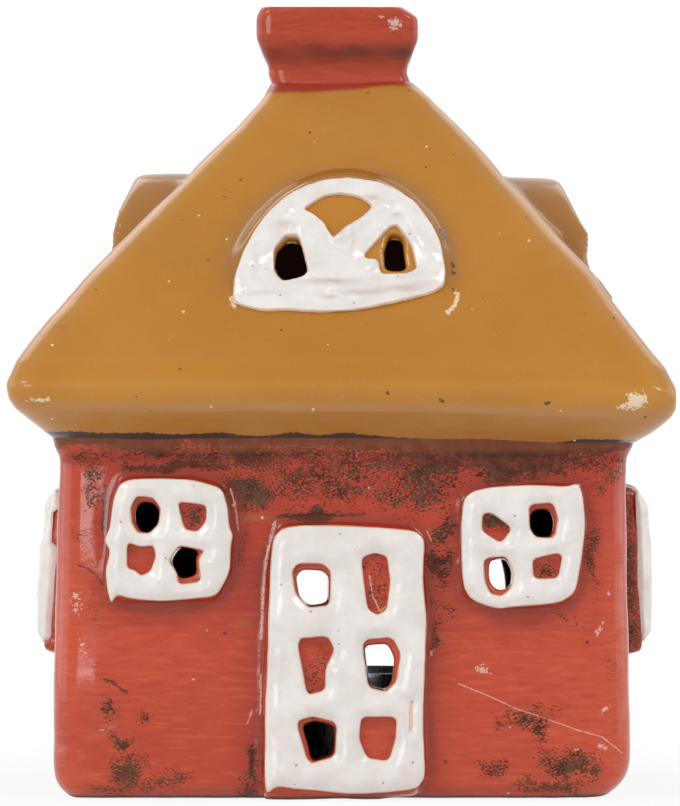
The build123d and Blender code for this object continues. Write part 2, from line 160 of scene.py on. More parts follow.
# The eave at the right and at the left, and how far the corners draw in, in millimetres
eave_sag, eave_rise = 1.1, 0.3
right_foot_in, left_foot_in = 2, 0.9
right_cap_in, left_cap_in = 2, 0.6
wall_rounding = 2.2


def to_photo(points):
    """The house's own asymmetry: a leaning roof, a sagging eave and softer bottom corners."""
    x, y, z = points.T
    moved = points.copy()
    moved[:, 0] = x * between(z, widening_by_height) + between(z, lean_by_height)
    eave = step(56, 62, z) * step(88, 74, z)
    moved[:, 2] -= eave * (eave_sag * step(0, 55, x) - eave_rise * step(0, -55, x))
    low = step(8, 0, z) ** 2
    moved[:, 0] -= low * right_foot_in * step(30, 47, x)
    moved[:, 0] += low * left_foot_in * step(-30, -47, x)
    middle = step(25, 19, abs(y))
    crown = step(99, 103, z) * step(107, 105, z)
    for side, inset, rise in ((-1, left_dormer_inset, left_crown_rise), (1, right_dormer_inset, 0)):
        near = middle * step(24, 30, side * x)
        moved[:, 0] -= side * near * between(z, inset) * step(82, 85, z)
        moved[:, 2] += rise * near * crown
    rounding = wall_rounding * np.clip((abs(x) - 34) / 13.7, 0, 1.1) ** 3
    rounding *= step(60, 57, z) * step(30, 42, abs(y))
    moved[:, 1] -= np.sign(y) * rounding
    cap = np.where(x < 0, left_cap_in, right_cap_in) * step(129.6, 132.4, z) ** 2
    moved[:, 0] -= np.sign(x) * cap * step(6, 12, abs(x))
    return moved


# The clay's slow unevenness: strength, the sizes of its features along each axis, and seeds
clay_waves = ((1, (38, 38, 42), (11, 12, 13)), (0.4, (17, 17, 19), (14, 15, 16)))
clay_wave_height = 0.36


def handmade(points):
    """Unevenness of clay shaped by hand, the same for every piece of the house."""
    shift = np.zeros_like(points)
    for strength, sizes, seeds in clay_waves:
        waves = [noise(points, size, seed) for size, seed in zip(sizes, seeds)]
        shift += strength * np.stack(waves, axis=1)
    shift *= clay_wave_height
    shift[:, 2] *= step(4, 22, points[:, 2])
    return to_photo(points + shift)


def keep_inside(points):
    low, high = (np.array(corner) / mm for corner in cad_bounds)
    return np.clip(points, low + 0.02, high - 0.02)


# How much narrower and lower the side pads are drawn, in millimetres a side
side_pad_inset = {1: 0.5, 2: 0.1}


def joined_mesh(name, node_names, pad_inset=0):
    """One mesh that holds the solids of several CAD nodes, with its pads drawn in a little."""
    build = bmesh.new()
    for node in node_names:
        before = len(build.verts)
        build.from_mesh(nodes[node].data)
        if not node.endswith("_pad"):
            continue
        low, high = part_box(node)
        at_side = "side" in node
        build.verts.ensure_lookup_table()
        for vertex in build.verts[before:]:
            for axis in (1 if at_side else 0, 2):
                middle, half = (low[axis] + high[axis]) / 2, (high[axis] - low[axis]) / 2
                if axis == 2 and low.z < 3 * mm:  # The door's pad keeps its foot on the ground
                    middle, half = low.z, high.z - low.z
                inset = (side_pad_inset[axis] if at_side else pad_inset) * mm
                vertex.co[axis] = middle + (vertex.co[axis] - middle) * (half - inset) / half
    bmesh.ops.remove_doubles(build, verts=build.verts, dist=0.001 * mm)
    mesh = bpy.data.meshes.new(name)
    build.to_mesh(mesh)
    build.free()
    return mesh


def show(name, mesh):
    piece = bpy.data.objects.new(name, mesh)
    scene.collection.objects.link(piece)
    return piece


def evaluated_mesh(piece):
    bpy.context.view_layer.update()
    evaluated = piece.evaluated_get(bpy.context.evaluated_depsgraph_get())
    return bpy.data.meshes.new_from_object(evaluated)


def fused(piece, voxel):
    """Joins what overlaps in a piece into one skin of small faces."""
    remesh = piece.modifiers.new("fuse", "REMESH")
    remesh.mode = "VOXEL"
    remesh.voxel_size = voxel * mm
    remesh.adaptivity = 0
    mesh = evaluated_mesh(piece)
    piece.modifiers.clear()
    old = piece.data
    piece.data = mesh
    bpy.data.meshes.remove(old)


def finish_clay(piece, rounds, bumps, edge_rounds, edge_reach, paint, shape):
    """Softens a fused piece, makes it uneven, and marks its edges and hollows for the glaze."""
    mesh = piece.data
    edges = rows(mesh.edges, "vertices", 2, np.int32)
    points = relaxed(coordinates(mesh), edges, rounds)
    points = shape(points, edges)
    put_coordinates(mesh, points)
    rest = points.copy()
    outward = normals(mesh)
    for size, height, seed in bumps:
        points = points + outward * height * noise(rest, size, seed)[:, None]
    points = keep_inside(handmade(points))
    put_coordinates(mesh, points)
    outward = normals(mesh)
    evened = relaxed(points, edges, edge_rounds)
    rise = np.einsum("ij,ij->i", points - evened, outward) / edge_reach
    rise = spread(rise, edges, 2)
    marks = {"edge": np.clip(rise, 0, 1), "hollow": np.clip(-rise, 0, 1)}
    for name, values in (marks | paint(rest, outward)).items():
        attribute = mesh.attributes.new(name, "FLOAT", "POINT")
        attribute.data.foreach_set("value", values.astype(np.float32))
    mesh.polygons.foreach_set("use_smooth", np.ones(len(mesh.polygons), bool))
    mesh.update()


# Materials

glaze_ior = 1.43
# Near-black for the inside of the house, painted shade
near_black_shade = (0.022, 0.014, 0.011)


class NodeTree:
    """The nodes of a material or a world, built up by short calls that return sockets."""

    def __init__(self, owner, output):
        owner.use_nodes = True
        self.tree = owner.node_tree
        self.tree.nodes.clear()
        self.output = self.node(output)

    def show(self, surface):
        self.tree.links.new(surface, self.output.inputs["Surface"])

    def put(self, value, socket):
        if isinstance(value, bpy.types.NodeSocket):
            self.tree.links.new(value, socket)
        elif socket.type == "RGBA" and len(value) == 3:
            socket.default_value = (*value, 1)
        else:
            socket.default_value = value

    def node(self, kind, inputs=None, **settings):
        made = self.tree.nodes.new("ShaderNode" + kind)
        for key, value in settings.items():
            setattr(made, key, value)
        for key, value in (inputs or {}).items():
            self.put(value, made.inputs[key])
        return made

    def math(self, operation, a, b=0, clamp=False):
        made = self.node("Math", {0: a, 1: b}, operation=operation, use_clamp=clamp)
        return made.outputs[0]

    def vector(self, operation, a, b, output=0):
        made = self.node("VectorMath", {0: a, 1: b}, operation=operation)
        return made.outputs[output]

    def mix(self, share, a, b):
        return self.node("MixShader", {0: share, 1: a, 2: b}).outputs[0]

    def seen(self):
        """1 where the camera looks, directly or by way of something glossy or clear."""
        rays = self.node("LightPath").outputs
        either = self.math("MAXIMUM", rays["Is Camera Ray"], rays["Is Glossy Ray"])
        return self.math("MAXIMUM", either, rays["Is Transmission Ray"])


class Shader(NodeTree):
    """A glaze or another surface with its own noise, marks and relief."""

    def __init__(self, name):
        self.material = bpy.data.materials.new(name)
        super().__init__(self.material, "OutputMaterial")
        self.surface = self.node("BsdfPrincipled")
        self.show(self.surface.outputs[0])
        self.place = self.node("TexCoord").outputs["Object"]

    def attribute(self, name):
        return self.node("Attribute", attribute_name=name).outputs["Fac"]

    def stretched(self, x, y, z):
        mapping = self.node("Mapping", {"Vector": self.place, "Scale": (x, y, z)})
        return mapping.outputs["Vector"]

    def noise(self, per_mm, detail=3, rough=0.6, place=None, distortion=0):
        made = self.node("TexNoise", {
            "Vector": place or self.place, "Scale": per_mm / mm, "Detail": detail,
            "Roughness": rough, "Distortion": distortion,
        })
        return made.outputs["Fac"]

    def cells(self, per_mm):
        """How far the nearest of many scattered points is, and its random red, green and blue."""
        made = self.node("TexVoronoi", {"Vector": self.place, "Scale": per_mm / mm})
        parts = self.node("SeparateColor", {0: made.outputs["Color"]})
        return made.outputs["Distance"], parts.outputs

    def ramp(self, value, low=0.3, high=0.7, out_low=0, out_high=1):
        made = self.node("MapRange", {
            "Value": value, "From Min": low, "From Max": high,
            "To Min": out_low, "To Max": out_high,
        }, interpolation_type="SMOOTHSTEP")
        return made.outputs["Result"]

    def times(self, a, b):
        return self.math("MULTIPLY", a, b)

    def plus(self, a, b):
        return self.math("ADD", a, b)

    def over(self, value, limit):
        return self.math("GREATER_THAN", value, limit)

    def under(self, value, limit):
        return self.math("LESS_THAN", value, limit)

    def blend(self, share, a, b):
        made = self.node("Mix", data_type="RGBA")
        for socket, value in ((0, share), (6, a), (7, b)):
            self.put(value, made.inputs[socket])
        return made.outputs[2]

    def coats(self, color, *layers):
        """Paints layers over a colour: their paint, where they lie, and how strong they are."""
        for paint, cover, strength in layers:
            if isinstance(cover, str):
                cover = self.attribute(cover)
            color = self.blend(self.times(cover, strength), color, paint)
        return color

    def patchy(self, name, grain, low, high):
        """Patches of an attribute, broken up by a grain."""
        return self.ramp(self.plus(self.times(self.attribute(name), 0.5), grain), low, high)

    def strokes(self, lines):
        """1 on lines on the front, through places across and up in millimetres, and 0 elsewhere."""
        apart = self.node("SeparateXYZ", {0: self.place}).outputs
        flat = self.node("CombineXYZ", {0: apart[0], 1: apart[2]}).outputs[0]
        gaps = [self.line_gap(flat, places, half_width) for half_width, places in lines]
        nearest = gaps[0]
        for gap in gaps[1:]:
            nearest = self.math("MINIMUM", nearest, gap)
        ragged = self.ramp(self.noise(1.6, 2, 0.7), 0.3, 0.7, 0.6, 1.4)
        cover = self.ramp(self.times(nearest, ragged), 0.75, 1.25, 1, 0)
        broken = self.ramp(self.noise(2.4, 2, 0.6), 0.36, 0.5, 0.25, 1)
        front = self.under(apart[1], -0.03)
        return self.times(self.times(cover, broken), front)

    def line_gap(self, flat, places, half_width):
        """How far a point lies from a line, in the line's half-widths."""
        nearest = None
        for (x0, z0), (x1, z1) in zip(places, places[1:]):
            start, along = Vector((x0, z0, 0)) * mm, Vector((x1 - x0, z1 - z0, 0)) * mm
            away = self.vector("SUBTRACT", flat, start)
            dot = self.vector("DOT_PRODUCT", away, along, "Value")
            share = self.math("MULTIPLY", dot, 1 / along.length_squared, clamp=True)
            reached = self.node("VectorMath", {0: along, "Scale": share}, operation="SCALE")
            gap = self.vector("DISTANCE", away, reached.outputs[0], "Value")
            nearest = gap if nearest is None else self.math("MINIMUM", nearest, gap)
        return self.times(nearest, 1 / (half_width * mm))

    def bump(self, height, distance, strength=1, normal=None):
        inputs = {"Height": height, "Distance": distance * mm, "Strength": strength}
        if normal is not None:
            inputs["Normal"] = normal
        return self.node("Bump", inputs).outputs["Normal"]

    def set(self, **inputs):
        for key, value in inputs.items():
            self.put(value, self.surface.inputs[key.replace("_", " ")])
        return self.material


# Marks on the front wall: half-width, then places across and up in millimetres
# Pale marks: a scratch low on the right, and painted highlights along the ridges of the pads and in
# a pane of the door
scratch_and_highlight_marks = (
    (0.085, ((19.3, 19), (24.5, 16.9), (28.5, 15), (34.7, 12.9), (38.5, 11.5))),
    (0.1, ((38.5, 11.5), (43, 10.2), (44.8, 8.8), (46.3, 7.5))),
    (0.22, ((-10.9, 45.6), (-11.9, 42), (-12.6, 37), (-13, 30), (-13.1, 26.5))),
    (0.16, ((-18.2, 51), (-17.5, 48.6), (-16.9, 44.2))),
    (0.14, ((-13.2, 20.5), (-13.3, 14))),
    (0.16, ((-15.4, 12.5), (-14.7, 14.6))),
    (0.13, ((14.2, 44), (14.9, 42.5))),
    (0.12, ((4.7, 36.8), (5.2, 33.5), (6.4, 31), (7.3, 31.6))),
)
dark_marks = (
    (0.13, ((-43.2, 38.4), (-41.8, 38), (-40.4, 36.9), (-39.2, 35.2))),
    (0.26, ((-39, 19.7), (-37.6, 19.2), (-35.4, 17.5))),
    (0.34, ((-38.9, 51.5), (-39, 49), (-39.2, 44.5))),
    (0.18, ((-10.5, 46.5), (-4, 47), (0, 46.6), (4, 46.9))),
)


def red_glaze(name, shade, upper, gloss):
    """Red glaze: its brightness, how much deeper it is high on the walls, and its gloss."""
    s = Shader(name)

    def deep(*color):
        return tuple(shade * part for part in color)

    # Brushed red, deeper towards the eaves
    streak = s.noise(1.3, 4, 0.65, s.stretched(0.16, 0.16, 1))
    height = s.node("SeparateXYZ", {0: s.place}).outputs[2]
    red = s.coats(
        deep(0.44, 0.042, 0.016),
        (deep(0.53, 0.062, 0.022), s.ramp(s.noise(0.028, 3, 0.55)), 1),
        (deep(0.33, 0.038, 0.018), s.ramp(s.noise(0.9), 0.6, 0.8), 0.6),
        (deep(0.6, 0.105, 0.05), s.ramp(streak, 0.5, 0.66), 0.45),
        (deep(0.39, 0.03, 0.01), s.ramp(streak, 0.48, 0.34), 0.45),
        (deep(0.41, 0.026, 0.007), s.ramp(height, 0.034, 0.056), upper),
    )

    # Brown iron that breaks through in patches, and in a band under the eaves
    mottle = s.noise(0.16, place=s.stretched(1, 1, 2.2))
    grain = s.noise(2.5, 3, 0.7, s.stretched(0.8, 0.8, 1.6))
    dry = s.plus(s.times(mottle, 0.35), s.times(grain, 0.95))
    brown = s.patchy("brown", s.plus(dry, -0.65), 0.22, 0.26)
    broken = s.ramp(s.noise(0.7, 3, 0.7, s.stretched(1, 1, 1.8)), 0.4, 0.6, 1, 0.35)
    band = s.times(s.ramp(s.attribute("brown"), 1, 1.7), broken)
    tint = s.coats(
        deep(0.024, 0.018, 0.01),
        (deep(0.074, 0.055, 0.03), s.ramp(s.noise(0.5)), 1),
        (deep(0.03, 0.03, 0.026), band, 1),
    )

    # Smears, thin glaze on edges, pools in hollows, chips, scratches and specks, and painted
    # glints, highlights and shade
    glint_and_wear_grain = s.plus(s.noise(1.8, 3, 0.7), -0.5)
    spot, pick = s.cells(0.22)
    pits = s.times(s.ramp(spot, 0.05, 0.09, 1, 0), s.over(pick[0], 0.6))
    grit = s.times(s.ramp(spot, 0.04, 0.07, 1, 0), s.under(pick[0], 0.16))
    color = s.coats(
        red,
        (tint, brown, 0.93),
        ((0.34, 0.15, 0.035), "ochre", 0.6),
        (deep(0.68, 0.16, 0.075), "edge", 0.22),
        (deep(0.2, 0.026, 0.014), "hollow", 0.55),
        # Pale patches: painted glints on the front wall, and partly worn glaze, partly painted
        # glints on the cap
        ((0.8, 0.58, 0.5), s.patchy("wear_and_glints", glint_and_wear_grain, 0.28, 0.33), 0.6),
        ((0.045, 0.022, 0.014), s.strokes(dark_marks), 0.85),
        # Pale strokes: a scratch, and painted highlights along ridges
        ((0.72, 0.42, 0.33), s.strokes(scratch_and_highlight_marks), 0.75),
        # Near-black at the walls' foot, and painted shade under the chimney's cap
        ((0.055, 0.03, 0.02), "dark_foot_and_cap_shade", 1),
        # The inside painted near-black as shade
        (near_black_shade, "inside", 1),
        ((0.05, 0.02, 0.014), pits, 0.8),
        ((0.8, 0.55, 0.42), grit, 0.7),
    )
    relief = s.bump(s.noise(0.45, 2, 0.5), 0.06, 0.7)
    relief = s.bump(s.noise(2.6, 2, 0.6), 0.012, 0.6, relief)
    relief = s.bump(pits, 0.15, -0.6, relief)
    dull = s.math("MAXIMUM", s.attribute("dark_foot_and_cap_shade"), s.attribute("inside"))
    rough = s.ramp(s.noise(0.3), 0.3, 0.75, 0.07, 0.2)
    rough = s.plus(s.plus(rough, s.times(dull, 0.6)), s.times(brown, 0.16))
    level = s.math("SUBTRACT", gloss, s.times(brown, 0.33))
    return s.set(
        Base_Color=color, Roughness=rough, IOR=glaze_ior, Specular_IOR_Level=level, Normal=relief
    )


# Marks on the front of the roof, in the same measures
roof_dark_marks = (
    (0.28, ((16.5, 94), (17.2, 92.6))),
    (0.16, ((17.5, 92.2), (17.7, 91.4))),
    (0.3, ((18.4, 88.2), (18.5, 87.8))),
    (0.26, ((18.5, 86.9), (18.6, 86.6))),
    (0.24, ((18.5, 84), (18.6, 83.7))),
    (0.3, ((16.3, 65.6), (16.6, 65.5))),
    (0.28, ((33.6, 65.1), (33.9, 65.2))),
    (0.22, ((7.5, 66.9), (7.7, 66.9))),
)
# Painted highlights: on a glaze run at the front dormer's right foot, and at its left foot
roof_highlight_marks = (
    (0.34, ((19.3, 83.2), (19.2, 82.4), (18.6, 81.2), (17.6, 80.2))),
    (0.22, ((18.8, 83.4), (19.3, 83.3))),
    (0.4, ((-18, 82.4), (-17.6, 81.2))),
)


def ochre_glaze(name):
    """Ochre, painted paler under the eaves as light from below, red at the chimney's foot, with
    flecks, dots, marks and painted highlights.
    """
    s = Shader(name)
    smear = s.noise(0.4, 4, 0.6, s.stretched(0.35, 0.35, 1.2), 0.8)
    # The ochre under the eaves is painted paler, as light thrown up from below
    fold = s.times(s.attribute("under_eave"), s.ramp(smear, 0.25, 0.6, 0.45, 0.95))
    grain = s.plus(s.noise(1.6, 3, 0.7), -0.5)
    distance, chosen = s.cells(1.1)
    flecks = s.times(s.ramp(distance, 0.1, 0.2, 1, 0), s.over(chosen[0], 0.72))
    distance, pick = s.cells(0.42)
    dots = s.under(distance, s.ramp(pick[1], 0, 1, 0.05, 0.11))
    rarity = s.math("SUBTRACT", 0.84, s.times(s.attribute("dotted"), 0.55))
    dark = s.times(dots, s.over(pick[0], rarity))
    light = s.times(dots, s.under(pick[0], 0.15))
    color = s.coats(
        (0.422, 0.165, 0.008),
        ((0.472, 0.191, 0.012), s.ramp(s.noise(0.035, 3, 0.55)), 1),
        ((0.56, 0.3, 0.095), "edge", 0.25),
        ((0.25, 0.095, 0.02), "hollow", 0.6),
        ((0.3, 0.13, 0.035), s.ramp(smear, 0.62, 0.78), 0.28),
        # Painted paler under the eaves, as light from below
        ((0.48, 0.225, 0.066), fold, 1),
        ((0.27, 0.115, 0.028), "rim", 0.55),
        ((0.32, 0.038, 0.02), "neck", 1),
        ((0.072, 0.053, 0.042), s.patchy("brown", grain, 0.22, 0.27), 1),
        # Pale patches at the eave corners: worn glaze and painted highlights
        ((0.78, 0.64, 0.45), s.patchy("wear_and_glints", grain, 0.24, 0.28), 0.85),
        # The inside painted near-black as shade
        (near_black_shade, "inside", 1),
        ((0.66, 0.36, 0.1), flecks, 0.3),
        ((0.06, 0.02, 0.01), s.math("MAXIMUM", dark, s.strokes(roof_dark_marks)), 0.85),
        # Pale dots, and painted highlights along the pale marks
        ((0.85, 0.7, 0.5), s.math("MAXIMUM", light, s.strokes(roof_highlight_marks)), 0.8),
    )
    relief = s.bump(s.noise(0.3, 2, 0.5), 0.07, 0.7)
    relief = s.bump(s.math("MAXIMUM", dark, light), 0.12, -0.6, relief)
    rough = s.ramp(s.noise(0.3), 0.3, 0.75, 0.11, 0.24)
    rough = s.plus(rough, s.times(s.attribute("inside"), 0.6))
    return s.set(Base_Color=color, Roughness=rough, IOR=glaze_ior, Normal=relief)


def white_glaze(name):
    """White, smeared by the clay under it, thin and brown at its rims, with pits, and painted shade
    in its hollows.
    """
    s = Shader(name)
    smear = s.noise(0.5, 4, 0.65, s.stretched(0.4, 0.4, 1.3), 0.6)
    smeared = s.times(s.ramp(smear, 0.3, 0.65, 0.35, 0.9), s.attribute("smear"))
    distance, pick = s.cells(0.42)
    pits = s.times(s.ramp(distance, 0.07, 0.12, 1, 0), s.over(pick[0], 0.78))
    color = s.coats(
        (0.74, 0.7, 0.67),
        ((0.84, 0.81, 0.78), s.ramp(s.noise(0.22)), 1),
        ((0.5, 0.38, 0.31), smeared, 1),
        # Grey-pink in the hollows is painted shade
        ((0.52, 0.46, 0.46), s.ramp(s.attribute("hollow"), 0.15, 0.8), 0.5),
        ((0.72, 0.42, 0.24), s.ramp(s.attribute("rim"), 0.5, 1), 0.75),
        ((0.25, 0.16, 0.13), pits, 0.6),
    )
    relief = s.bump(s.noise(0.4, 2, 0.5), 0.09, 0.8)
    relief = s.bump(pits, 0.12, -0.6, relief)
    rough = s.ramp(s.noise(0.5), 0.3, 0.75, 0.08, 0.2)
    return s.set(Base_Color=color, Roughness=rough, IOR=glaze_ior, Normal=relief)


red = red_glaze("red_glaze_with_iron_brown", 1, 0.7, 0.5)
# The chimney's darker copy of the red glaze is painted shade
chimney_red = red_glaze("red_glaze_darkened_as_shade", 0.78, 0, 0.38)
ochre = ochre_glaze("ochre_glaze_pooled")
white = white_glaze("white_glaze_over_slip")

# The red walls

body_nodes = [
    "floor_slab", "front_wall", "rear_wall", "left_wall", "right_wall", "front_door_pad",
    "front_left_window_pad", "front_right_window_pad",
    "left_side_window_pad", "right_side_window_pad",
]
wall_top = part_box("front_wall")[1].z / mm
half_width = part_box("right_wall")[1].x / mm
half_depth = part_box("rear_wall")[1].y / mm
wall_foot = 5
wall_lean = atan2(1.1, 53.6)
pad_height = 3.1

# The side windows: how far out the pad and then the window stand at each height
side_pad_out = {
    "left": (
        (21, 3.3), (24.4, 3.3), (25.4, 2.4), (30, 2), (35, 1.7), (40.8, 1.5), (41.6, 2.5),
        (46.6, 2.5), (47.4, 1.5), (53, 1.3),
    ),
    "right": ((21, 3.4), (26, 3.7), (35, 3.5), (45, 3.3), (50, 3.3), (53, 2.9)),
}
side_window_out = {
    "left": (
        (22.4, 2.6), (23.3, 2.9), (24.7, 3.5), (26.5, 3.8), (35, 3.9), (38.3, 3.8), (41.7, 3.5),
        (46.9, 3.2), (48.6, 2.8), (50.3, 2.1), (51.2, 1.8),
    ),
    "right": (
        (22.4, 3.6), (23.3, 3.9), (24.7, 4.4), (26.5, 4.9), (31.5, 5.1), (38.3, 5.1), (46.9, 4.8),
        (48.6, 4.2), (50.3, 3.5), (51.2, 3),
    ),
}

# Brown patches on the front: middle across and up, half-size across and up, and strength
front_patches = (
    (0, 60.4, 90, 1.9, 1.75), (-31, 59, 3.5, 2.4, 2.2), (26, 58.6, 17, 1.9, 1.5),
    (-16, 57, 34, 3.8, 0.66), (22, 56, 32, 4.6, 0.7), (-27, 54.3, 10, 0.9, 1),
    (-15.5, 50.5, 6, 6, 0.66), (-3, 52.5, 14, 6, 0.6), (12, 51.5, 11, 7, 0.6),
    (28, 54, 14, 2.8, 0.66), (43.5, 53, 3, 4, 0.5), (-44, 55.5, 3, 2, 0.5),
    (-41.2, 51.5, 2.3, 5, 0.57), (-41.5, 42.5, 1.8, 3.5, 0.42), (-5, 46.7, 7, 0.8, 0.85),
    (-16.2, 42, 1.3, 4.5, 0.42), (-40.2, 30, 1.5, 7.5, 0.4), (-39, 14.8, 2.6, 3, 0.56),
    (-36.4, 10.3, 1.9, 1.7, 0.76), (-32.4, 14.2, 2.1, 2.4, 0.54), (-35.6, 5.2, 3.6, 3.9, 0.72),
    (-29, 3.2, 5.5, 2.6, 0.62), (-38, 1.6, 6, 1.4, 0.5), (-13.6, 6, 1, 5, 0.85),
    (-15, 1.8, 2.6, 1.8, 0.6), (30.5, 13.2, 6.5, 2.6, 0.54), (32.6, 11.2, 3, 2.2, 0.66),
    (36.4, 5.8, 6.6, 3.6, 0.68), (24.5, 5.6, 4, 2.4, 0.54), (34.5, 2, 9, 1.5, 0.66),
    (41.5, 3.5, 3, 3, 0.5), (16.8, 37, 2, 4.4, 0.72), (18.3, 30.3, 2, 0.8, 0.5),
    (16.6, 44, 2.6, 4.2, 0.6), (15.4, 27.5, 1.2, 5, 0.5), (41.2, 41.5, 1.6, 8, 0.6),
    (36, 30.2, 5, 1.4, 0.42), (44.5, 22, 1.5, 6, 0.36), (-24.6, 46.4, 2.6, 2.6, 0.6),
    (25.6, 45.2, 3, 2.6, 0.85), (33.4, 38.2, 3.2, 2.4, 0.56), (6, 35.6, 3.2, 6.5, 0.5),
    (-4, 21.6, 3.4, 5.5, 0.5),
)
ochre_smears = (
    (-13.9, 46.3, 2.6, 0.6, 0.9), (-15.9, 28.9, 1.5, 0.8, 0.5), (20.5, 47.5, 0.5, 2, 0.8),
    (-41.5, 46, 1, 1.6, 0.3),
)
# Painted glints on the front wall, in the measures of the brown patches
wall_glints = (
    (43.2, 41.2, 1.1, 0.35, 0.9), (43.8, 35.3, 0.4, 0.5, 0.9), (42.9, 28.5, 0.9, 0.8, 0.75),
    (42.4, 13.9, 0.8, 1, 0.75), (42.4, 9, 1, 0.7, 0.75), (38.6, 7.9, 0.9, 0.4, 0.7),
    (15.4, 25.3, 0.35, 1.1, 0.9), (15, 38.8, 0.35, 0.7, 0.8), (23, 21.6, 0.9, 0.9, 0.65),
    (38, 57.2, 0.5, 0.9, 0.7), (-42.2, 33, 1.8, 2.6, 0.56), (-42.6, 25, 1.4, 3, 0.52),
    (-23.4, 19.4, 0.5, 0.4, 0.8), (3.4, 56.6, 0.5, 0.7, 0.7),
)
side_pad_half = 12
right_pad_brown, left_pad_brown = 0.54, 0.36


def patches(across, up, table):
    cover = np.zeros(len(across))
    for middle, height, reach_across, reach_up, strength in table:
        away = ((across - middle) / reach_across) ** 2 + ((up - height) / reach_up) ** 2
        cover = np.maximum(cover, strength * np.exp(-away))
    return cover


def paint_walls(points, outward):
    """The front has its own patches. The others are mottled low down and brown at the eaves."""
    x, y, z = points.T
    inside = (abs(x) < half_width - 2.4) & (abs(y) < half_depth - 2.4) & (z > 2)
    facing_out = outward[:, 0] * x + outward[:, 1] * y
    inside = inside & (facing_out < 0.35 * (abs(x) + abs(y)))
    mottle = step(0.05, 0.5, noise(points * (1, 1, 1.6), 18, 21)) * step(30, 4, z)
    band = step(wall_top - 8, wall_top - 1, z)
    on_pad = (abs(x) > half_width) & (abs(y) < side_pad_half)
    pad = on_pad * np.where(x > 0, right_pad_brown, left_pad_brown)
    elsewhere = np.maximum(np.maximum(0.7 * mottle, 1.3 * band), pad)
    warped = [
        part + 1.5 * noise(points, 5, 22 + k) + 0.9 * noise(points, 2, 24 + k)
        for k, part in enumerate((x, z))
    ]
    front = y < -half_depth + 9
    return {
        "brown": np.where(front, patches(*warped, front_patches), elsewhere),
        # Near-black at the very foot of the walls
        "dark_foot_and_cap_shade": step(0.9, 0.2, z),
        "inside": inside,
        "ochre": np.where(front, patches(x, z, ochre_smears), 0),
        # Painted glints
        "wear_and_glints": np.where(front, patches(*warped, wall_glints), 0),
    }


def shape_walls(points, edges):
    """Bows the front beside its left edge and flares the walls into the eaves."""
    x, y, z = points.T
    bow = np.exp(-((x + 41) / 4.5) ** 2 - ((z - 37.5) / 7) ** 2)
    moved = points.copy()
    moved[:, 1] -= 0.45 * bow * step(-half_depth + 6, -half_depth + 1, y)
    face = half_width - (z - wall_foot) * wall_lean
    out = abs(x) - face
    on_pad = (out > 0.1) & (abs(y) < side_pad_half) & (z > 20) & (z < 53.5)
    for sign, side in ((-1, "left"), (1, "right")):
        pad_out = sign * (face + out * between(z, side_pad_out[side]) / pad_height)
        moved[:, 0] = np.where(on_pad & (sign * x > 0), pad_out, moved[:, 0])
    flare = 1.1 * step(wall_top - 3.6, wall_top, z) ** 2
    for axis, half in ((0, half_width), (1, half_depth)):
        place = points[:, axis]
        moved[:, axis] += flare * np.sign(place) * step(half - 5, half - 3, abs(place))
    moved[:, 2] += 1.3 * step(wall_top - 1.2, wall_top - 0.2, z)
    return moved


body = show("house_walls", joined_mesh("house_walls", body_nodes, 1))
fused(body, 0.5)
finish_clay(
    body, rounds=3, bumps=((9, 0.16, 31), (3.2, 0.05, 32)), edge_rounds=24, edge_reach=0.22,
    paint=paint_walls, shape=shape_walls,
)
body.data.materials.append(red)
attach(body, "house")
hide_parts(*body_nodes)

# The ochre roof with its dormers

roof_nodes = [
    "front_roof", "rear_roof", "left_roof", "right_roof",
    "front_dormer_hood", "left_dormer_hood", "right_dormer_hood",
]
roof_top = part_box("front_roof")[1].z / mm
# A dormer's half-round face, and how far out its foot stands, in millimetres
dormer_base, dormer_half, dormer_rise = 81.6, 18.7, 22
dormer_foot_out = {"front": 41.96, "left": 44.96, "right": 44.96}
dormer_lean = radians(22)
# The wall of the room under the roof, which turns inwards with the slope
room_half, room_knee, room_slope, flue_half = 42.2, 78.4, 0.86, 7.8
# Where the roof's glaze is worn with painted highlights at the eave corners, and where it has dark
# dots, in the measures of the wall's patches
worn_and_highlight_places = ((47.9, 66.6, 1.9, 1.7, 0.95), (46, 65.6, 2.4, 0.7, 0.7), (-49, 65.6, 2.6, 0.5, 0.75))
dotted_places = (
    (-16.5, 109.6, 3.2, 2.4, 1), (0, 109, 14, 4, 0.3), (-20, 92, 3, 6, 0.4), (20, 100, 5, 6, 0.3),
    (-33, 67, 12, 2.5, 0.3), (34, 66.5, 10, 2.5, 0.35),
)


def dormer_reach(along, up):
    """How far a place in millimetres lies from the foot's middle: 1 on the half-round's edge."""
    return np.hypot(along / dormer_half, np.maximum(up - dormer_base, 0) / dormer_rise)


